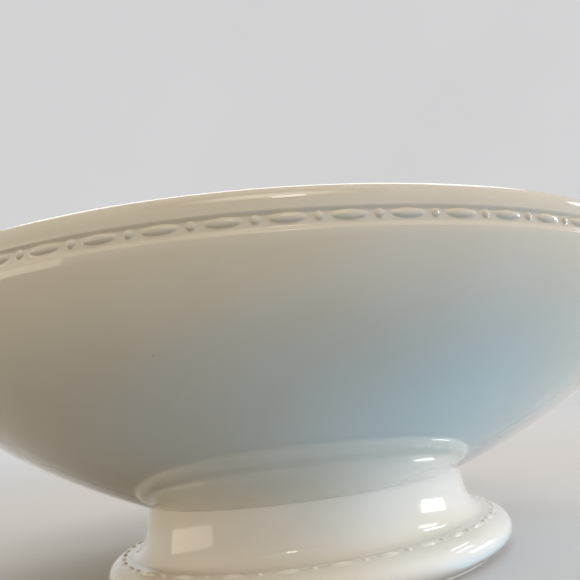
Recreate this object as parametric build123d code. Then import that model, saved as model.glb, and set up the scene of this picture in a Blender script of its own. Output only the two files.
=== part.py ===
"""Oval serving bowl of white glazed porcelain on a hollow pedestal foot.

A bead-and-reel string of long bars and small pearls runs in a shallow groove
under the lip, and a second string runs round the shoulder of the foot.

Frame: +Z up, +X along the length of the oval, origin at the middle of the
base. All sizes are millimetres. Every horizontal section of the bowl and the
foot is an ellipse, so an outline is a list of (half length, half width,
height) rings, and a solid is lofted through its rings.
"""
from build123d import *
import os
from math import acos, asin, atan2, cos, degrees, hypot, pi, sin

# ---- overall size -------------------------------------------------------
RIM_LENGTH = 244.5           # the belly's oval, carried up to the lip's height
RIM_WIDTH = 216.5
NECK_LENGTH = 121.5          # where the foot meets the basin
NECK_WIDTH = 88.8
FOOT_LENGTH = 142.2          # over the foot's rounded torus
FOOT_WIDTH = 116.8
BASIN_HEIGHT = 60.0

# ---- basin --------------------------------------------------------------
BELLY_SPREAD = 1.93          # exponent: how late the belly widens
BELLY_RISE = 0.90            # exponent: how late the belly climbs
BELLY_RINGS = 9
FLOOR_THICKNESS = 4.8
FLOOR_INSET = 5.0            # edge of the level inner floor, inside the neck
WALL = 4.6                   # at the lip
LIP_RADIUS = 2.1
LIP_STEPS = 5
STRING_DROP = 6.0            # top of the lip to the middle line of the string
GROOVE_DEPTH = 0.55
GROOVE_ABOVE = 0.95          # flat ground of the groove, above that middle line
GROOVE_BELOW = 1.1
GROOVE_UPPER_SLOPE = 0.5     # height of the short slope up to the band
GROOVE_LOWER_SLOPE = 2.0     # height of the long slope down to the belly

# ---- pedestal foot ------------------------------------------------------
NECK_DROP = 13.6             # from the basin, upright, to the cove's level end
COVE_REACH = 5.35
COVE_STEPS = 12
STEP_WIDTH = 0.5
TORUS_REACH = 6.3
TORUS_HALF_HEIGHT = 4.85
TORUS_TURN = 0.85 * pi       # how far the torus curls back under
TORUS_STEPS = 12
FOOT_WALL = 4.6
SEAM_THICKNESS = 0.6
SEAM_SQUEEZE = 1.2           # slip standing out on the hidden, inner side
RING_HEIGHT = 0.8
RING_WIDTH = 3.6
RING_INSET = 0.7             # dry ring, inside the glazed edge of the foot

# ---- bead-and-reel strings ----------------------------------------------
BAR_LENGTH = 6.2
BAR_RADIUS = 0.90
PEARL_RADIUS = 0.85
RELIEF = 0.70                # how far both stand out of their ground
RIM_PAIRS = 66               # pearls on the rim, and as many bars
FOOT_PAIRS = 30
RIM_START = 0.58             # share of a pair from the +X end to the first pearl
FOOT_START = 0.72
FOOT_STRING_TURN = 0.28      # radians from the top of the torus
BEAD_GAP = 0.02              # hairline between a rim bead and the groove's wall
ARC_SAMPLES = 1440
OVERCUT = 1.0                # how far a cutter runs past the face it opens

# ---- derived ------------------------------------------------------------
TORUS_HEIGHT = TORUS_HALF_HEIGHT * (1 - cos(TORUS_TURN))
FOOT_HEIGHT = RING_HEIGHT + TORUS_HEIGHT + NECK_DROP
FOOT_REACH = COVE_REACH + STEP_WIDTH + TORUS_REACH
TOTAL_HEIGHT = FOOT_HEIGHT + BASIN_HEIGHT
STRING_HEIGHT = TOTAL_HEIGHT - STRING_DROP
GROOVE_HIGH = STRING_HEIGHT + GROOVE_ABOVE
GROOVE_LOW = STRING_HEIGHT - GROOVE_BELOW
BELLY_TOP = GROOVE_LOW - GROOVE_LOWER_SLOPE
RIM_OVAL = (RIM_LENGTH / 2, RIM_WIDTH / 2)
NECK_OVAL = (NECK_LENGTH / 2, NECK_WIDTH / 2)
FOOT_OVAL = (FOOT_LENGTH / 2, FOOT_WIDTH / 2)


# ---- helpers ------------------------------------------------------------
def oval(ring):
    """Flat elliptical face at a ring's height."""
    half_length, half_width, height = ring
    return Pos(0, 0, height) * Ellipse(half_length, half_width)


def lofted(rings, straight=False):
    """Solid through the rings, curved between them or straight."""
    return loft([oval(ring) for ring in rings], ruled=straight)


def around(base, outward, height):
    """The ring that lies outward of a base oval by the same amount all round."""
    return (base[0] + outward, base[1] + outward, height)


def between(inner, outer, share, height):
    """The ring that lies a share of the way from one oval to another."""
    return (
        inner[0] + (outer[0] - inner[0]) * share,
        inner[1] + (outer[1] - inner[1]) * share,
        height,
    )


# ---- basin --------------------------------------------------------------
def belly_ring(inner, outer, turn):
    """Ring of a belly that climbs from one ring to another, at an angle along it."""
    share = sin(turn) ** BELLY_SPREAD
    climb = 1 - max(cos(turn), 0.0) ** BELLY_RISE
    return between(inner, outer, share, inner[2] + (outer[2] - inner[2]) * climb)


def belly_rings(inner, outer, last_turn):
    """Even rings of a belly, from its start to an angle along it."""
    return [belly_ring(inner, outer, last_turn * step / BELLY_RINGS) for step in range(BELLY_RINGS + 1)]


def outer_belly_turn(height):
    """Angle along the outer belly at a height."""
    return acos(((TOTAL_HEIGHT - height) / BASIN_HEIGHT) ** (1 / BELLY_RISE))


BELLY_START = around(NECK_OVAL, 0, FOOT_HEIGHT)
BELLY_END = around(RIM_OVAL, 0, TOTAL_HEIGHT)
WALL_OVAL = belly_ring(BELLY_START, BELLY_END, outer_belly_turn(GROOVE_LOW - GROOVE_LOWER_SLOPE / 2))[:2]
GROOVE_OVAL = around(WALL_OVAL, -GROOVE_DEPTH, STRING_HEIGHT)


def make_basin():
    lip_centre = TOTAL_HEIGHT - LIP_RADIUS
    belly = belly_rings(BELLY_START, BELLY_END, outer_belly_turn(BELLY_TOP))
    groove = lofted(
        [
            belly[-1],
            around(GROOVE_OVAL, 0, GROOVE_LOW),
            around(GROOVE_OVAL, 0, GROOVE_HIGH),
            around(WALL_OVAL, 0, GROOVE_HIGH + GROOVE_UPPER_SLOPE),
            around(WALL_OVAL, 0, lip_centre),
        ],
        straight=True,
    )
    lip_outside = []
    lip_inside = []
    for step in range(LIP_STEPS + 1):
        turn = pi / 2 * step / LIP_STEPS
        height = lip_centre + LIP_RADIUS * sin(turn)
        tuck = LIP_RADIUS * (1 - cos(turn))
        lip_outside.append(around(WALL_OVAL, -tuck, height))
        lip_inside.append(around(WALL_OVAL, tuck - WALL, height))
    body = lofted(belly) + groove + lofted(lip_outside)

    inner_floor = around(NECK_OVAL, -FLOOR_INSET, FOOT_HEIGHT + FLOOR_THICKNESS)
    inner_wall = around(WALL_OVAL, -WALL, lip_centre)
    hollow = lofted(belly_rings(inner_floor, inner_wall, pi / 2))
    return body - hollow - lofted(lip_inside)


# ---- pedestal foot ------------------------------------------------------
def foot_ring_at(outward, drop):
    """Ring of the foot, outward of the neck and below the basin."""
    return between(NECK_OVAL, FOOT_OVAL, outward / FOOT_REACH, FOOT_HEIGHT - drop)


def torus_ring(turn):
    """Ring of the foot's rounded torus, at an angle from its top."""
    outward = COVE_REACH + STEP_WIDTH + TORUS_REACH * sin(turn)
    drop = NECK_DROP + TORUS_HALF_HEIGHT * (1 - cos(turn))
    return foot_ring_at(outward, drop)


BASE = torus_ring(TORUS_TURN)


def make_foot_blank():
    """The foot's outside, filled in: a quarter ellipse, a level step and a torus."""
    first_turn = asin(SEAM_THICKNESS / NECK_DROP)
    rings = []
    for step in range(COVE_STEPS + 1):
        turn = first_turn + (pi / 2 - first_turn) * step / COVE_STEPS
        rings.append(foot_ring_at(COVE_REACH * (1 - cos(turn)), NECK_DROP * sin(turn)))
    for step in range(TORUS_STEPS + 1):
        rings.append(torus_ring(TORUS_TURN * step / TORUS_STEPS))
    return lofted(rings)


def make_foot(blank):
    """Hollow the foot out: upright inside the neck, then flaring to the base."""
    opening = around(BASE, -RING_WIDTH - 2 * RING_INSET, BASE[2])
    chimney = around(NECK_OVAL, -FOOT_WALL, FOOT_HEIGHT - NECK_DROP / 2)
    hollow = lofted([chimney, opening], straight=True)
    return blank - extrude(oval(chimney), NECK_DROP) - hollow - extrude(oval(opening), -OVERCUT)


def band(outside, inside, thickness):
    """Flat elliptical band hanging below the two rings."""
    return extrude(oval(outside), -thickness) - extrude(oval(inside), -thickness)


def make_foot_ring():
    outside = around(BASE, -RING_INSET, BASE[2])
    return band(outside, around(outside, -RING_WIDTH, BASE[2]), RING_HEIGHT)


def make_luting_seam():
    outside = around(NECK_OVAL, 0, FOOT_HEIGHT)
    inside = around(NECK_OVAL, -FOOT_WALL - SEAM_SQUEEZE, FOOT_HEIGHT)
    return band(outside, inside, SEAM_THICKNESS)


# ---- bead-and-reel strings ----------------------------------------------
def stations(half_length, half_width, count, start):
    """Evenly spaced (x, y, heading in degrees) round an ellipse, by arc length."""
    step = 2 * pi / ARC_SAMPLES
    speeds = [
        hypot(half_length * sin(step * (index + 0.5)), half_width * cos(step * (index + 0.5)))
        for index in range(ARC_SAMPLES)
    ]
    perimeter = sum(speeds) * step
    places = []
    travelled = 0.0
    index = 0
    for number in range(count):
        wanted = perimeter * (number + start % 1) / count
        while travelled + speeds[index] * step < wanted:
            travelled += speeds[index] * step
            index += 1
        turn = step * (index + (wanted - travelled) / (speeds[index] * step))
        heading = degrees(atan2(half_width * cos(turn), -half_length * sin(turn)))
        places.append((half_length * cos(turn), half_width * sin(turn), heading))
    return places


def make_bar():
    """Long bead that tapers to both ends, lying along X, its seam on the outer side."""
    outline = EllipticalCenterArc((0, 0), BAR_LENGTH / 2, BAR_RADIUS, arc_size=180)
    profile = make_face(outline + Line((-BAR_LENGTH / 2, 0), (BAR_LENGTH / 2, 0)))
    return Rot(180, 0, 0) * revolve(profile, Axis.X)


def string_of(shape, ring, count, start, ground):
    """Copies of a bead round a ring, each cut off where it meets its ground."""
    half_length, half_width, height = ring
    beads = []
    for x, y, heading in stations(half_length, half_width, count, start):
        bead = Pos(x, y, height) * Rot(0, 0, heading) * shape - ground
        beads.append(bead.solids()[0])
    return Compound(children=beads)


def main():
    os.makedirs("parts", exist_ok=True)
    foot_blank = make_foot_blank()
    groove_core = extrude(oval(around(GROOVE_OVAL, BEAD_GAP, GROOVE_LOW)), GROOVE_HIGH - GROOVE_LOW)
    shoulder = torus_ring(FOOT_STRING_TURN)

    nodes = {
        "basin": make_basin(),
        "pedestal_foot": make_foot(foot_blank),
        "foot_ring": make_foot_ring(),
        "luting_seam": make_luting_seam(),
    }
    for name, bead, radius, offset in (
        ("bead_pearls", Sphere(PEARL_RADIUS), PEARL_RADIUS, 0.0),
        ("bead_bars", make_bar(), BAR_RADIUS, 0.5),
    ):
        sunk = RELIEF - radius
        rim_line = around(GROOVE_OVAL, sunk, STRING_HEIGHT)
        foot_line = around(shoulder, 0, shoulder[2] + sunk)
        nodes["rim_" + name] = string_of(bead, rim_line, RIM_PAIRS, RIM_START + offset, groove_core)
        nodes["foot_" + name] = string_of(bead, foot_line, FOOT_PAIRS, FOOT_START + offset, foot_blank)

    for name, shape in nodes.items():
        export_step(shape, f"parts/{name}.step")
        print(name, len(shape.solids()), "solids", round(shape.volume, 1), "mm3")


main()
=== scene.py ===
"""Looks of the oval porcelain serving bowl, built round its CAD frame.

Every horizontal section of the bowl and the foot is an ellipse, so an outline
is an array of (half length, half width, height) rings. Units are metres.
"""
from math import acos, asin, cos, pi, radians, sin

import bpy
import numpy as np
from mathutils import Matrix, Vector


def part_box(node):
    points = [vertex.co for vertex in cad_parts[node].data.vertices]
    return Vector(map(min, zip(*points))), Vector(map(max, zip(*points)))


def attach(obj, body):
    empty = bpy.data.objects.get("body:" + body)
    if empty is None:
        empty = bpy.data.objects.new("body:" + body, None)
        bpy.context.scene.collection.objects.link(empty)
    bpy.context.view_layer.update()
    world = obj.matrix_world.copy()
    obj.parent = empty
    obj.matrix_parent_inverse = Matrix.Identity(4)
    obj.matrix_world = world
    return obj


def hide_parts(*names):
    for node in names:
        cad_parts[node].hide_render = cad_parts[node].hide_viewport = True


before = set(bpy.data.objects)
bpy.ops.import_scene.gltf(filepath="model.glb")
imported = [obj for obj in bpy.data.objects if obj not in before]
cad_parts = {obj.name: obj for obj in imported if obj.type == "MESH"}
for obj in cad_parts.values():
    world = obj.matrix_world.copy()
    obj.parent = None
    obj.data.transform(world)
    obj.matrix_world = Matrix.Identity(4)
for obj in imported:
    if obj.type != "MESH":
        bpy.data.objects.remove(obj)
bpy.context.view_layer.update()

MM = 0.001

# ---- shape constants the boxes of the CAD nodes don't carry ----------------
BELLY_SPREAD = 1.93              # exponent: how late the belly widens
BELLY_RISE = 0.90                # exponent: how late the belly climbs
BELLY_OVERHANG = 0.70 * MM       # belly's oval at lip height, beyond the wall
FLOOR_THICKNESS = 4.8 * MM
FLOOR_INSET = 5.0 * MM           # edge of the level inner floor, inside the neck
WALL = 4.6 * MM                  # at the lip
LIP_RADIUS = 2.1 * MM
LIP_RISE = 3.4 * MM              # how far down the lip's outer rounding reaches
STRING_DROP = 6.0 * MM           # top of the lip to the middle line of the string
GROOVE_DEPTH = 0.55 * MM
GROOVE_ABOVE = 0.55 * MM         # flat ground of the groove, above that middle line
GROOVE_BELOW = 1.3 * MM
GROOVE_UPPER_SLOPE = 1.0 * MM    # height of the slope up to the band
GROOVE_LOWER_SLOPE = 1.2 * MM    # height of the slope down to the belly
NECK_DROP = 13.6 * MM            # from the basin, upright, to the cove's level end
COVE_REACH = 5.35 * MM
STEP_WIDTH = 0.5 * MM
TORUS_REACH = 6.3 * MM
TORUS_HALF_HEIGHT = 4.85 * MM
TORUS_TURN = 0.85 * pi           # how far the torus curls back under
FOOT_REACH = COVE_REACH + STEP_WIDTH + TORUS_REACH
FOOT_WALL = 4.6 * MM
SEAM_SQUEEZE = 1.2 * MM          # slip standing out on the hidden, inner side
RING_WIDTH = 3.6 * MM
RING_INSET = 0.7 * MM            # dry ring, inside the glazed edge of the foot

# ---- bead-and-reel strings -------------------------------------------------
BAR_LENGTH = 6.2 * MM
BAR_RADIUS = 0.90 * MM
PEARL_RADIUS = 0.85 * MM
PEARL_SHARE = 0.8                # how proud a pearl is beside a bar
RIM_PAIRS = 66
RIM_START = 0.58                 # share of a pair from the +X end to the first pearl
RIM_RELIEF = 0.63 * MM           # height of a bar, before the fillet adds a little
RIM_SKIRT = 0.60 * MM            # how far glaze spreads round a bead
RIM_FILLET = 0.42 * MM           # how softly a bead melts into its ground
FOOT_PAIRS = 30
FOOT_START = 0.72
FOOT_RELIEF = 0.46 * MM          # the glaze lies thicker on the foot
FOOT_SKIRT = 0.85 * MM
FOOT_FILLET = 0.38 * MM
FOOT_STRING_TURN = 0.28          # radians round the torus, from its inner edge
BEAD_SUNK = 0.03 * MM            # a bead's faded edge, below its ground
BEAD_BACKING = 0.3 * MM          # the point that closes a bead, behind its ground

# ---- mesh fineness ---------------------------------------------------------
AROUND = 480
BELLY_STEPS = 60
INNER_BELLY_STEPS = 50
LOWER_SLOPE_STEPS = 10
UPPER_SLOPE_STEPS = 8
GROOVE_STEPS = 6
BAND_STEPS = 6
LIP_RINGS = 11
COVE_RINGS = 30
TORUS_RINGS = 40
UNDERSIDE_STEPS = 5
HOLLOW_STEPS = 12
CHIMNEY_STEPS = 6
TOP_STEPS = 4
BEAD_AROUND = 36
BEAD_RINGS = 16
BEAD_CROWDING = 0.8              # exponent: under 1 brings a bead's rings nearer its edge
ARC_SAMPLES = 7200
SHARP_EDGE = radians(50)
BEAD_SHARP_EDGE = radians(70)

# ---- dimensions read from the frame ----------------------------------------
basin_low, basin_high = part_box("basin")
seam_low, seam_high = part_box("luting_seam")
foot_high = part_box("pedestal_foot")[1]

FOOT_HEIGHT = basin_low.z
TOTAL_HEIGHT = basin_high.z
WALL_OVAL = np.array([basin_high.x, basin_high.y])
NECK_OVAL = np.array([seam_high.x, seam_high.y])
FOOT_OVAL = np.array([foot_high.x, foot_high.y])
RIM_OVAL = WALL_OVAL + BELLY_OVERHANG
SEAM_LOW = seam_low.z
STRING_HEIGHT = TOTAL_HEIGHT - STRING_DROP
GROOVE_OVAL = WALL_OVAL - GROOVE_DEPTH
GROOVE_HIGH = STRING_HEIGHT + GROOVE_ABOVE
GROOVE_LOW = STRING_HEIGHT - GROOVE_BELOW
BELLY_TOP = GROOVE_LOW - GROOVE_LOWER_SLOPE


# ---- outlines --------------------------------------------------------------
def ring(oval, height):
    return np.array([oval[0], oval[1], height])


def between(inner, outer, share, height):
    return ring(inner + (outer - inner) * share, height)


def belly_turn(climb):
    """Angle along a belly where it has climbed a share of its height."""
    return acos((1 - climb) ** (1 / BELLY_RISE))


def belly(inner, outer, low, high, last_turn, steps):
    """Rings that leave low at a gentle slope and would be upright at high."""
    rings = []
    for turn in np.linspace(0, last_turn, steps + 1):
        share = sin(turn) ** BELLY_SPREAD
        climb = 1 - max(cos(turn), 0.0) ** BELLY_RISE
        rings.append(between(inner, outer, share, low + (high - low) * climb))
    return rings


def eased(start, end, steps):
    """Rings from one to another along a soft S, without the two ends."""
    rings = []
    for share in np.linspace(0, 1, steps + 1)[1:-1]:
        soft = share * share * (3 - 2 * share)
        oval = start[:2] + (end[:2] - start[:2]) * soft
        rings.append(ring(oval, start[2] + (end[2] - start[2]) * share))
    return rings


def straight(start, end, steps):
    """Rings from one to another in a straight line, without the two ends."""
    return [start + (end - start) * share for share in np.linspace(0, 1, steps + 1)[1:-1]]


def basin_outline():
    """From the neck up the belly, over the lip and down the inside to the level floor."""
    climb = (BELLY_TOP - FOOT_HEIGHT) / (TOTAL_HEIGHT - FOOT_HEIGHT)
    rings = belly(NECK_OVAL, RIM_OVAL, FOOT_HEIGHT, TOTAL_HEIGHT, belly_turn(climb), BELLY_STEPS)
    groove_low = ring(GROOVE_OVAL, GROOVE_LOW)
    groove_high = ring(GROOVE_OVAL, GROOVE_HIGH)
    band_low = ring(WALL_OVAL, GROOVE_HIGH + GROOVE_UPPER_SLOPE)
    band_high = ring(WALL_OVAL, TOTAL_HEIGHT - LIP_RISE)
    rings += eased(rings[-1], groove_low, LOWER_SLOPE_STEPS) + [groove_low]
    rings += straight(groove_low, groove_high, GROOVE_STEPS) + [groove_high]
    rings += eased(groove_high, band_low, UPPER_SLOPE_STEPS) + [band_low]
    rings += straight(band_low, band_high, BAND_STEPS)
    for turn in np.linspace(0, pi / 2, LIP_RINGS):
        tuck = LIP_RADIUS * (1 - cos(turn))
        rings.append(ring(WALL_OVAL - tuck, TOTAL_HEIGHT - LIP_RISE * (1 - sin(turn))))
    lip_centre = TOTAL_HEIGHT - LIP_RADIUS
    for turn in np.linspace(pi / 2, 0, LIP_RINGS):
        tuck = LIP_RADIUS * (1 - cos(turn))
        rings.append(ring(WALL_OVAL - WALL + tuck, lip_centre + LIP_RADIUS * sin(turn)))
    inside = belly(
        NECK_OVAL - FLOOR_INSET, WALL_OVAL - WALL,
        FOOT_HEIGHT + FLOOR_THICKNESS, lip_centre, pi / 2, INNER_BELLY_STEPS,
    )
    downward = inside[::-1]
    return rings + downward[1:]      # the lip ends in the first of these


def foot_ring_at(outward, drop):
    return between(NECK_OVAL, FOOT_OVAL, outward / FOOT_REACH, FOOT_HEIGHT - drop)


def torus_ring(turn):
    outward = COVE_REACH + STEP_WIDTH + TORUS_REACH * sin(turn)
    return foot_ring_at(outward, NECK_DROP + TORUS_HALF_HEIGHT * (1 - cos(turn)))


def foot_outline():
    """A closed loop: neck, cove, step and torus outside, then up the hollow."""
    first_turn = asin((FOOT_HEIGHT - SEAM_LOW) / NECK_DROP)
    rings = []
    for turn in np.linspace(first_turn, pi / 2, COVE_RINGS):
        rings.append(foot_ring_at(COVE_REACH * (1 - cos(turn)), NECK_DROP * sin(turn)))
    for turn in np.linspace(0, TORUS_TURN, TORUS_RINGS):
        rings.append(torus_ring(turn))
    base = rings[-1]
    opening = ring(base[:2] - RING_WIDTH - 2 * RING_INSET, base[2])
    chimney = ring(NECK_OVAL - FOOT_WALL, FOOT_HEIGHT - NECK_DROP / 2)
    top = ring(NECK_OVAL - FOOT_WALL, SEAM_LOW)
    rings += straight(base, opening, UNDERSIDE_STEPS) + [opening]
    rings += straight(opening, chimney, HOLLOW_STEPS) + [chimney]
    rings += straight(chimney, top, CHIMNEY_STEPS) + [top]
    rings += straight(top, rings[0], TOP_STEPS)
    return rings


# ---- meshes ----------------------------------------------------------------
def points_on(rings, count=AROUND):
    """Points round every ring, ring by ring."""
    turns = np.linspace(0, 2 * pi, count, endpoint=False)
    rings = np.asarray(rings)
    xs = rings[:, :1] * np.cos(turns)
    ys = rings[:, 1:2] * np.sin(turns)
    zs = np.repeat(rings[:, 2:3], count, axis=1)
    return np.stack([xs, ys, zs], axis=-1).reshape(-1, 3)


def ring_faces(first, second, count):
    """Quads between two rings of points, given the index each starts at."""
    step = np.arange(count)
    after = (step + 1) % count
    return np.stack([first + step, first + after, second + after, second + step], axis=1).tolist()


def cap_faces(start, centre, count, flip):
    """Triangles from a ring of points to the point at its centre."""
    step = np.arange(count)
    after = (step + 1) % count
    pair = (start + after, start + step) if flip else (start + step, start + after)
    return np.stack([pair[0], pair[1], np.full(count, centre)], axis=1).tolist()


def new_piece(name, points, faces, sharp=SHARP_EDGE):
    mesh = bpy.data.meshes.new(name)
    mesh.from_pydata(np.asarray(points).tolist(), [], faces)
    mesh.validate()
    mesh.polygons.foreach_set("use_smooth", [True] * len(mesh.polygons))
    mesh.set_sharp_from_angle(angle=sharp)
    piece = bpy.data.objects.new(name, mesh)
    bpy.context.scene.collection.objects.link(piece)
    return piece


def turned_piece(name, rings, looped):
    """A piece from its outline: looped, or closed by a centre point at each end."""
    points = points_on(rings)
    faces = []
    for index in range(len(rings) - 1):
        faces += ring_faces(index * AROUND, (index + 1) * AROUND, AROUND)
    last = (len(rings) - 1) * AROUND
    if looped:
        faces += ring_faces(last, 0, AROUND)
        return new_piece(name, points, faces)
    centres = np.array([[0, 0, rings[0][2]], [0, 0, rings[-1][2]]])
    faces += cap_faces(0, len(points), AROUND, True)
    faces += cap_faces(last, len(points) + 1, AROUND, False)
    return new_piece(name, np.vstack([points, centres]), faces)


class Ground:
    """The surface a string of beads lies on: a curve round it, and a way across."""

    def __init__(self, ring_at):
        self.ring_at = ring_at
        half_length, half_width, _ = ring_at(0.0)
        turns = np.linspace(0, 2 * pi, ARC_SAMPLES + 1)
        middles = (turns[1:] + turns[:-1]) / 2
        speeds = np.hypot(half_length * np.sin(middles), half_width * np.cos(middles))
        self.turns = turns
        self.travelled = np.concatenate([[0], np.cumsum(speeds) * (turns[1] - turns[0])])
        self.perimeter = self.travelled[-1]

    def point(self, along, across):
        turn = np.interp(along % self.perimeter, self.travelled, self.turns)
        half_length, half_width, height = self.ring_at(across)
        heights = np.broadcast_to(height, turn.shape)
        return np.stack([half_length * np.cos(turn), half_width * np.sin(turn), heights], -1)

    def normal(self, along, across):
        nudge = 0.02 * MM
        sideways = self.point(along + nudge, across) - self.point(along - nudge, across)
        upward = self.point(along, across + nudge) - self.point(along, across - nudge)
        out = np.cross(sideways, upward)
        return out / np.linalg.norm(out, axis=-1, keepdims=True)


def rim_ground(across):
    """Across is upward, on the groove's upright ground."""
    return GROOVE_OVAL[0], GROOVE_OVAL[1], STRING_HEIGHT + across


def foot_ground(across):
    """Across is along the torus: up its slope, towards the neck."""
    turn = FOOT_STRING_TURN - across / TORUS_REACH
    outward = COVE_REACH + STEP_WIDTH + TORUS_REACH * np.sin(turn)
    share = outward / FOOT_REACH
    drop = NECK_DROP + TORUS_HALF_HEIGHT * (1 - np.cos(turn))
    oval = NECK_OVAL[:, None] + (FOOT_OVAL - NECK_OVAL)[:, None] * np.atleast_1d(share)
    return oval[0], oval[1], FOOT_HEIGHT - drop


def bead_string(name, ground, half_length, radius, relief, skirt, fillet, count, start):
    """Closed lens-shaped beads whose edges melt into the surface under them."""
    shares = np.linspace(0, 1, BEAD_RINGS + 1)[1:] ** BEAD_CROWDING
    turns = np.linspace(0, 2 * pi, BEAD_AROUND, endpoint=False)
    long_way = (half_length + skirt) * shares[:, None] * np.cos(turns)
    short_way = (radius + skirt) * shares[:, None] * np.sin(turns)
    along = np.concatenate([[0], long_way.ravel()])
    across = np.concatenate([[0], short_way.ravel()])
    inside = 1 - (along / half_length) ** 2 - (across / radius) ** 2
    bulge = radius * np.sign(inside) * np.sqrt(np.abs(inside)) - (radius - relief)
    above = (bulge - BEAD_SUNK + np.sqrt((bulge + BEAD_SUNK) ** 2 + fillet ** 2)) / 2
    first_rim = 1 + (BEAD_RINGS - 1) * BEAD_AROUND
    faces = cap_faces(1, 0, BEAD_AROUND, False)
    for index in range(BEAD_RINGS - 1):
        low = 1 + index * BEAD_AROUND
        faces += [face[::-1] for face in ring_faces(low, low + BEAD_AROUND, BEAD_AROUND)]
    back = len(along)
    faces += cap_faces(first_rim, back, BEAD_AROUND, True)
    all_points = []
    all_faces = []
    for number in range(count):
        middle = ground.perimeter * (number + start) / count
        base = ground.point(middle + along, across)
        out = ground.normal(middle + along, across)
        points = base + out * above[:, None]
        behind = base[:1] - out[:1] * BEAD_BACKING
        shift = len(all_points) * (back + 1)
        all_points.append(np.vstack([points, behind]))
        all_faces += [[corner + shift for corner in face] for face in faces]
    return new_piece(name, np.vstack(all_points), all_faces, BEAD_SHARP_EDGE)


# ---- shader nodes, for a material or the world -----------------------------
def add_noise(owner, place, scale, detail, roughness=0.5):
    noise = owner.node_tree.nodes.new("ShaderNodeTexNoise")
    noise.inputs["Scale"].default_value = scale
    noise.inputs["Detail"].default_value = detail
    noise.inputs["Roughness"].default_value = roughness
    owner.node_tree.links.new(place.outputs["Object"], noise.inputs["Vector"])
    return noise.outputs["Fac"]


def add_ramp(owner, source, stops):
    """Colours for a 0..1 value, from (position, colour) pairs."""
    ramp = owner.node_tree.nodes.new("ShaderNodeValToRGB")
    elements = ramp.color_ramp.elements
    while len(elements) < len(stops):
        elements.new(0.5)
    for element, (position, colour) in zip(elements, stops):
        element.position = position
        element.color = (*colour, 1.0)
    owner.node_tree.links.new(source, ramp.inputs["Fac"])
    return ramp.outputs["Color"]


def add_span(owner, source, low, high, start=0.0, end=1.0, curve="LINEAR"):
    """Maps start..end to low..high, and holds the ends beyond them."""
    span = owner.node_tree.nodes.new("ShaderNodeMapRange")
    span.interpolation_type = curve
    span.inputs["From Min"].default_value = start
    span.inputs["From Max"].default_value = end
    span.inputs["To Min"].default_value = low
    span.inputs["To Max"].default_value = high
    owner.node_tree.links.new(source, span.inputs["Value"])
    return span.outputs["Result"]


def add_bump(owner, height, distance, under=None):
    bump = owner.node_tree.nodes.new("ShaderNodeBump")
    bump.inputs["Distance"].default_value = distance
    bump.inputs["Strength"].default_value = 1.0
    owner.node_tree.links.new(height, bump.inputs["Height"])
    if under is not None:
        owner.node_tree.links.new(under, bump.inputs["Normal"])
    return bump.outputs["Normal"]


def add_reach(owner, place):
    """Distance from the object's origin."""
    reach = owner.node_tree.nodes.new("ShaderNodeVectorMath")
    reach.operation = "LENGTH"
    owner.node_tree.links.new(place.outputs["Object"], reach.inputs[0])
    return reach.outputs["Value"]


def colour_socket(sockets, name):
    """The one for colours among a Mix node's sockets of the same name."""
    return [socket for socket in sockets if socket.name == name and socket.type == "RGBA"][0]


# ---- materials -------------------------------------------------------------
GLOSS = (
    ("IOR", 1.5),
    ("Specular IOR Level", 0.35),
    ("Coat Weight", 1.0),
    ("Coat Roughness", 0.02),
    ("Coat IOR", 1.5),
)
SPECK_COLOUR = (0.24, 0.18, 0.12)
PAPER_NEAR = 0.25                # studio paper is matt up to here from the bowl's middle
PAPER_FAR = 1.4                  # and evenly lit from here on


def blank_material(name):
    """A material, its output and the object's coordinates."""
    material = bpy.data.materials.new(name)
    material.use_nodes = True
    nodes = material.node_tree.nodes
    nodes.clear()
    return material, nodes.new("ShaderNodeOutputMaterial"), nodes.new("ShaderNodeTexCoord")


def new_material(name):
    """A material, its Principled shader and the object's coordinates."""
    material, output, place = blank_material(name)
    shader = material.node_tree.nodes.new("ShaderNodeBsdfPrincipled")
    material.node_tree.links.new(shader.outputs["BSDF"], output.inputs["Surface"])
    return material, shader, place


def add_specks(material, place, tone):
    """Brown specks over a tone: a small disc in the middle of a few of many cells."""
    nodes = material.node_tree.nodes
    links = material.node_tree.links
    cells = nodes.new("ShaderNodeTexVoronoi")
    cells.inputs["Scale"].default_value = 95
    links.new(place.outputs["Object"], cells.inputs["Vector"])
    disc = add_span(material, cells.outputs["Distance"], low=1.0, high=0.0, start=0.020, end=0.034)
    chance = nodes.new("ShaderNodeSeparateColor")
    links.new(cells.outputs["Color"], chance.inputs["Color"])
    rare = add_span(material, chance.outputs["Red"], low=0.0, high=0.75, start=0.88, end=1.0)
    shown = nodes.new("ShaderNodeMath")
    shown.operation = "MULTIPLY"
    links.new(disc, shown.inputs[0])
    links.new(rare, shown.inputs[1])
    speckled = nodes.new("ShaderNodeMix")
    speckled.data_type = "RGBA"
    colour_socket(speckled.inputs, "B").default_value = (*SPECK_COLOUR, 1)
    links.new(shown.outputs["Value"], speckled.inputs["Factor"])
    links.new(tone, colour_socket(speckled.inputs, "A"))
    return colour_socket(speckled.outputs, "Result")


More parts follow.
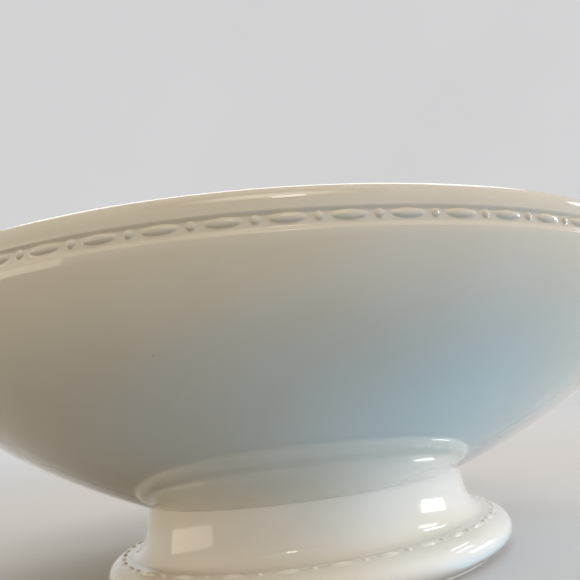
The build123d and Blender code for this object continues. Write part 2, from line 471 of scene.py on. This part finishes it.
def make_glaze(name, thin, even, thick):
    """Glossy glaze: tone follows its thickness, with waves, a fine skin and rare specks."""
    material, shader, place = new_material(name)
    links = material.node_tree.links
    cloud = add_noise(material, place, scale=22, detail=2)
    tone = add_ramp(material, cloud, [(0.30, thin), (0.50, even), (0.72, thick)])
    links.new(add_specks(material, place, tone), shader.inputs["Base Color"])
    smear = add_noise(material, place, scale=60, detail=3)
    links.new(add_span(material, smear, low=0.06, high=0.13), shader.inputs["Roughness"])
    for setting, value in GLOSS:
        shader.inputs[setting].default_value = value
    wave = add_noise(material, place, scale=26, detail=1)
    long_wave = add_bump(material, wave, distance=0.35 * MM)
    ripple = add_noise(material, place, scale=110, detail=1)
    short_wave = add_bump(material, ripple, distance=0.045 * MM, under=long_wave)
    peel = add_noise(material, place, scale=420, detail=2)
    skin = add_bump(material, peel, distance=0.012 * MM, under=short_wave)
    links.new(skin, shader.inputs["Normal"])
    links.new(skin, shader.inputs["Coat Normal"])
    return material


def make_bisque():
    """Dry, grainy unglazed porcelain."""
    material, shader, place = new_material("bisque")
    links = material.node_tree.links
    grain = add_noise(material, place, scale=1800, detail=4, roughness=0.6)
    tone = add_ramp(material, grain, [(0.35, (0.78, 0.73, 0.65)), (0.60, (0.86, 0.82, 0.75))])
    links.new(tone, shader.inputs["Base Color"])
    links.new(add_span(material, grain, low=0.75, high=0.95), shader.inputs["Roughness"])
    links.new(add_bump(material, grain, distance=0.06 * MM), shader.inputs["Normal"])
    return material


def make_studio(name, colour, spread, brightness):
    """Matt paper round the object that passes into evenly lit paper further off."""
    material, output, place = blank_material(name)
    nodes = material.node_tree.nodes
    links = material.node_tree.links
    cloud = add_noise(material, place, scale=1.5, detail=2)
    dark = tuple(channel * (1 - spread) for channel in colour)
    tone = add_ramp(material, cloud, [(0.3, dark), (0.7, colour)])
    matt = nodes.new("ShaderNodeBsdfPrincipled")
    matt.inputs["Roughness"].default_value = 0.9
    matt.inputs["Specular IOR Level"].default_value = 0.1
    links.new(tone, matt.inputs["Base Color"])
    reach = add_reach(material, place)
    far = add_span(
        material, reach, low=0.0, high=1.0, start=PAPER_NEAR, end=PAPER_FAR, curve="SMOOTHSTEP",
    )
    even = nodes.new("ShaderNodeEmission")
    even.inputs["Strength"].default_value = brightness
    links.new(tone, even.inputs["Color"])
    blend = nodes.new("ShaderNodeMixShader")
    links.new(far, blend.inputs["Fac"])
    links.new(matt.outputs["BSDF"], blend.inputs[1])
    links.new(even.outputs["Emission"], blend.inputs[2])
    links.new(blend.outputs["Shader"], output.inputs["Surface"])
    return material


def make_soft_light(name, colour, strength):
    """Light that is strongest in the middle of a unit disc and fades to its edge."""
    material, output, place = blank_material(name)
    links = material.node_tree.links
    reach = add_reach(material, place)
    fade = add_span(material, reach, low=strength, high=0.0, curve="SMOOTHSTEP")
    glow = material.node_tree.nodes.new("ShaderNodeEmission")
    glow.inputs["Color"].default_value = (*colour, 1)
    links.new(fade, glow.inputs["Strength"])
    links.new(glow.outputs["Emission"], output.inputs["Surface"])
    return material


# ---- pieces ----------------------------------------------------------------
def paint(piece, material):
    piece.data.materials.clear()
    piece.data.materials.append(material)


def place_piece(piece, material, slot, *nodes):
    paint(piece, material)
    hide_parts(*nodes)
    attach(piece, "root")


# One glaze in two copies: the basin's copy is painted darker, as painted shade on the belly, and the
# foot's copy is painted lighter, as painted light on the foot and its seam.
glaze = make_glaze(
    "glaze", thin=(0.70, 0.64, 0.51), even=(0.73, 0.67, 0.55), thick=(0.75, 0.70, 0.60),
)
foot_glaze_painted_lighter = make_glaze(
    "foot_glaze_painted_lighter", thin=(0.89, 0.825, 0.72), even=(0.92, 0.86, 0.76), thick=(0.93, 0.885, 0.80),
)

place_piece(turned_piece("glazed_basin", basin_outline(), False), glaze, "glaze", "basin")
place_piece(turned_piece("glazed_foot", foot_outline(), True), foot_glaze_painted_lighter, "glaze", "pedestal_foot")

# The slip seam wears the foot's copy of the glaze, painted lighter as painted light.
seam_inside = NECK_OVAL - FOOT_WALL - SEAM_SQUEEZE
seam_outline = [
    ring(NECK_OVAL, FOOT_HEIGHT),
    ring(NECK_OVAL, SEAM_LOW),
    ring(seam_inside, SEAM_LOW),
    ring(seam_inside, FOOT_HEIGHT),
]
place_piece(turned_piece("slip_seam", seam_outline, True), foot_glaze_painted_lighter, "slip", "luting_seam")
paint(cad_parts["foot_ring"], make_bisque())

# The rim's beads wear the basin's painted-darker copy of the glaze, and the foot's beads the foot's
# painted-lighter copy.
for where, ground, pairs, start, relief, skirt, fillet, finish in (
    ("rim", Ground(rim_ground), RIM_PAIRS, RIM_START, RIM_RELIEF, RIM_SKIRT, RIM_FILLET, glaze),
    (
        "foot", Ground(foot_ground), FOOT_PAIRS, FOOT_START,
        FOOT_RELIEF, FOOT_SKIRT, FOOT_FILLET, foot_glaze_painted_lighter,
    ),
):
    bars = bead_string(
        f"glazed_{where}_bars", ground, BAR_LENGTH / 2, BAR_RADIUS,
        relief, skirt, fillet, pairs, start + 0.5,      # half a pair on from a pearl
    )
    place_piece(bars, finish, "glaze", f"{where}_bead_bars")
    pearls = bead_string(
        f"glazed_{where}_pearls", ground, PEARL_RADIUS, PEARL_RADIUS,
        PEARL_SHARE * relief, skirt, fillet, pairs, start,
    )
    place_piece(pearls, finish, "glaze", f"{where}_bead_pearls")


# ---- stage -----------------------------------------------------------------
STAGE_AROUND = 96
FLOOR_RADIUS = 1.6
FLOOR_CENTRE = 0.05              # radius of the floor's innermost ring
FLOOR_GAP = 0.05 * MM            # keeps the floor clear of the foot ring's own face
FLOOR_RINGS = 20
SWEEP = 1.7                      # radius of the bend from the floor up to the backdrop
SWEEP_RINGS = 20
WALL_RADIUS = FLOOR_RADIUS + SWEEP
CEILING_LOW = 2.4
CEILING_RISE = 1.6
CEILING_TURN = 0.49 * pi         # stops just short of the middle
CEILING_RINGS = 24


def make_stage(name, profile, material, centred):
    """A round stage piece from (radius, height) pairs."""
    points = points_on([(radius, radius, height) for radius, height in profile], STAGE_AROUND)
    faces = []
    for index in range(len(profile) - 1):
        faces += ring_faces(index * STAGE_AROUND, (index + 1) * STAGE_AROUND, STAGE_AROUND)
    if centred:
        faces += cap_faces(0, len(points), STAGE_AROUND, True)
        points = np.vstack([points, [[0, 0, profile[0][1]]]])
    piece = new_piece(name, points, faces)
    paint(piece, material)
    piece.visible_diffuse = False    # light from below comes from the world instead
    piece.visible_shadow = False


paper = make_studio("studio_paper", (0.69, 0.69, 0.70), spread=0.03, brightness=0.96)
flat = [(radius, -FLOOR_GAP) for radius in np.linspace(FLOOR_CENTRE, FLOOR_RADIUS, FLOOR_RINGS)]
sweep = [
    (FLOOR_RADIUS + SWEEP * sin(turn), SWEEP * (1 - cos(turn)) - FLOOR_GAP)
    for turn in np.linspace(0, pi / 2, SWEEP_RINGS)
]
ceiling = [
    (WALL_RADIUS * cos(turn), CEILING_LOW + CEILING_RISE * sin(turn))
    for turn in np.linspace(0, CEILING_TURN, CEILING_RINGS)
]
make_stage("floor", flat, paper, True)
make_stage("backdrop", sweep + ceiling, paper, False)

# ---- camera: place, direction and lens come from fitting the bowl's rings to the photo ----
CAMERA_BACK = Vector((-0.83380, -0.52156, -0.18097)).normalized()
CAMERA_ROLL = -0.101
CAMERA_PLACE = Vector((-0.191411, -0.117826, 0.045236))
CAMERA_LENS = 41.32

level_right = Vector((0, 0, 1)).cross(CAMERA_BACK).normalized()
level_up = CAMERA_BACK.cross(level_right)
right = level_right * cos(CAMERA_ROLL) + level_up * sin(CAMERA_ROLL)
up = level_up * cos(CAMERA_ROLL) - level_right * sin(CAMERA_ROLL)
camera_data = bpy.data.cameras.new("camera")
camera_data.lens = CAMERA_LENS
camera_data.clip_start = 0.005
camera_data.clip_end = 20
camera = bpy.data.objects.new("camera", camera_data)
camera.matrix_world = Matrix((
    (right.x, up.x, CAMERA_BACK.x, CAMERA_PLACE.x),
    (right.y, up.y, CAMERA_BACK.y, CAMERA_PLACE.y),
    (right.z, up.z, CAMERA_BACK.z, CAMERA_PLACE.z),
    (0, 0, 0, 1),
))
bpy.context.scene.collection.objects.link(camera)
bpy.context.scene.camera = camera


# ---- light -----------------------------------------------------------------
MIDDLE = Vector((0, 0, 0.05))    # of the bowl: what the lights face
CARD_CORNERS = 64
DAYLIGHT = (0.95, 0.98, 1.0)
COOL_BEARING = 55
COOL_DISTANCE = 0.115
COOL_HEIGHT = 0.003
towards_camera = Vector((CAMERA_BACK.x, CAMERA_BACK.y, 0)).normalized()


def towards(bearing):
    """Level direction, in degrees from the camera's side and positive to the right."""
    turn = radians(bearing)
    return towards_camera * cos(turn) + level_right * sin(turn)


def face_along(thing, way):
    """Turns a light or a card to shine in a direction."""
    thing.rotation_mode = "QUATERNION"
    thing.rotation_quaternion = way.to_track_quat("-Z", "Y")


def area_light(name, place, width, height, radiance, colour):
    """A rectangle of light whose face has the same radiance all over."""
    data = bpy.data.lights.new(name, "AREA")
    data.shape = "RECTANGLE"
    data.size = width
    data.size_y = height
    data.energy = radiance * pi * width * height
    data.color = colour
    light = bpy.data.objects.new(name, data)
    light.location = place
    bpy.context.scene.collection.objects.link(light)
    return light


def softbox(name, bearing, distance, low, high, width, radiance, colour, reflected):
    """A rectangle of light facing the bowl, midway between two heights and as tall as they differ."""
    place = towards(bearing) * distance + Vector((0, 0, (low + high) / 2))
    light = area_light(name, place, width, high - low, radiance, colour)
    face_along(light, MIDDLE - light.location)
    light.visible_glossy = reflected


def soft_card(name, bearing, distance, height, width, tall, material):
    """A glowing oval card with no hard edge, facing the bowl."""
    turns = np.linspace(0, 2 * pi, CARD_CORNERS, endpoint=False)
    points = [(cos(turn), sin(turn), 0) for turn in turns]
    card = new_piece(name, points, [list(range(CARD_CORNERS))])
    paint(card, material)
    card.location = towards(bearing) * distance + Vector((0, 0, height))
    face_along(card, MIDDLE - card.location)
    card.scale = (width / 2, tall / 2, 1)
    card.visible_camera = False
    card.visible_shadow = False


# name, bearing, distance, lowest and highest point, width, radiance, colour, seen in the glaze
for box in (
    ("window", 108, 1.5, 0.11, 0.30, 0.42, 28.0, DAYLIGHT, True),
    ("window_high", 107, 1.45, 0.66, 0.80, 0.36, 3.0, DAYLIGHT, True),
    ("warm_fill", -72, 1.5, 0.005, 0.42, 1.30, 1.5, (1.0, 0.88, 0.70), True),
    ("back_top", 180, 0.80, 1.00, 1.75, 2.00, 1.7, (1.0, 0.97, 0.94), True),
    ("key", 0, 1.3, 1.00, 1.80, 1.50, 1.2, (1.0, 0.88, 0.71), False),
    ("lamp", 14, 1.4, 1.05, 1.25, 0.22, 5.5, (1.0, 0.92, 0.80), True),
    ("front", -22, 1.5, 0.02, 0.30, 2.20, 1.6, (1.0, 0.84, 0.70), False),
    ("back_fill", 180, 1.5, 0.05, 0.65, 1.80, 1.3, (1.0, 0.97, 0.93), False),
    ("right_fill", 84, 1.45, 0.50, 1.10, 1.10, 3.0, (1.0, 0.91, 0.88), False),
):
    softbox(*box)

# a small cool lamp facing up from just over the floor, under the right of the belly
cool_place = towards(COOL_BEARING) * COOL_DISTANCE + Vector((0, 0, COOL_HEIGHT))
cool_bounce = area_light(
    "cool_bounce", cool_place, width=0.20, height=0.12, radiance=0.80, colour=(0.20, 0.60, 1.0),
)
face_along(cool_bounce, Vector((0, 0, 1)))
cool_bounce.visible_glossy = False
cool_bounce.visible_camera = False

key_light = make_soft_light("soft_key", (1.0, 0.93, 0.82), strength=3.2)
soft_card("soft_key", bearing=8, distance=1.3, height=1.45, width=2.0, tall=1.2, material=key_light)

# ---- world -----------------------------------------------------------------
WORLD_STRENGTH = 2.1
# colours from the picture's left (0) to its right (1)
WORLD_SIDEWAYS = (
    (0.0, (0.25, 0.215, 0.13)),
    (0.55, (0.20, 0.17, 0.13)),
    (1.0, (0.62, 0.64, 0.70)),
)
# colours those are multiplied by, from straight below (0) past the horizon (0.5) to
# straight above (1)
WORLD_UPWARD = (
    (0.0, (0.20, 0.25, 0.33)),
    (0.36, (0.27, 0.31, 0.38)),
    (0.5, (1.0, 0.985, 0.91)),
    (0.62, (0.62, 0.62, 0.62)),
    (1.0, (0.30, 0.30, 0.30)),
)


def make_world():
    """A soft room: warm and dim on the left, cool and bright on the right."""
    world = bpy.data.worlds.new("world")
    world.use_nodes = True
    nodes = world.node_tree.nodes
    links = world.node_tree.links
    place = nodes.new("ShaderNodeTexCoord")
    sideways = nodes.new("ShaderNodeVectorMath")
    sideways.operation = "DOT_PRODUCT"
    sideways.inputs[1].default_value = level_right
    links.new(place.outputs["Generated"], sideways.inputs[0])
    apart = nodes.new("ShaderNodeSeparateXYZ")
    links.new(place.outputs["Generated"], apart.inputs["Vector"])
    across = add_span(world, sideways.outputs["Value"], low=0.0, high=1.0, start=-1.0)
    height = add_span(world, apart.outputs["Z"], low=0.0, high=1.0, start=-1.0)
    both = nodes.new("ShaderNodeVectorMath")
    both.operation = "MULTIPLY"
    links.new(add_ramp(world, across, WORLD_SIDEWAYS), both.inputs[0])
    links.new(add_ramp(world, height, WORLD_UPWARD), both.inputs[1])
    background = nodes["Background"]
    background.inputs["Strength"].default_value = WORLD_STRENGTH
    links.new(both.outputs["Vector"], background.inputs["Color"])
    bpy.context.scene.world = world


make_world()
bpy.context.scene.view_settings.view_transform = "Standard"
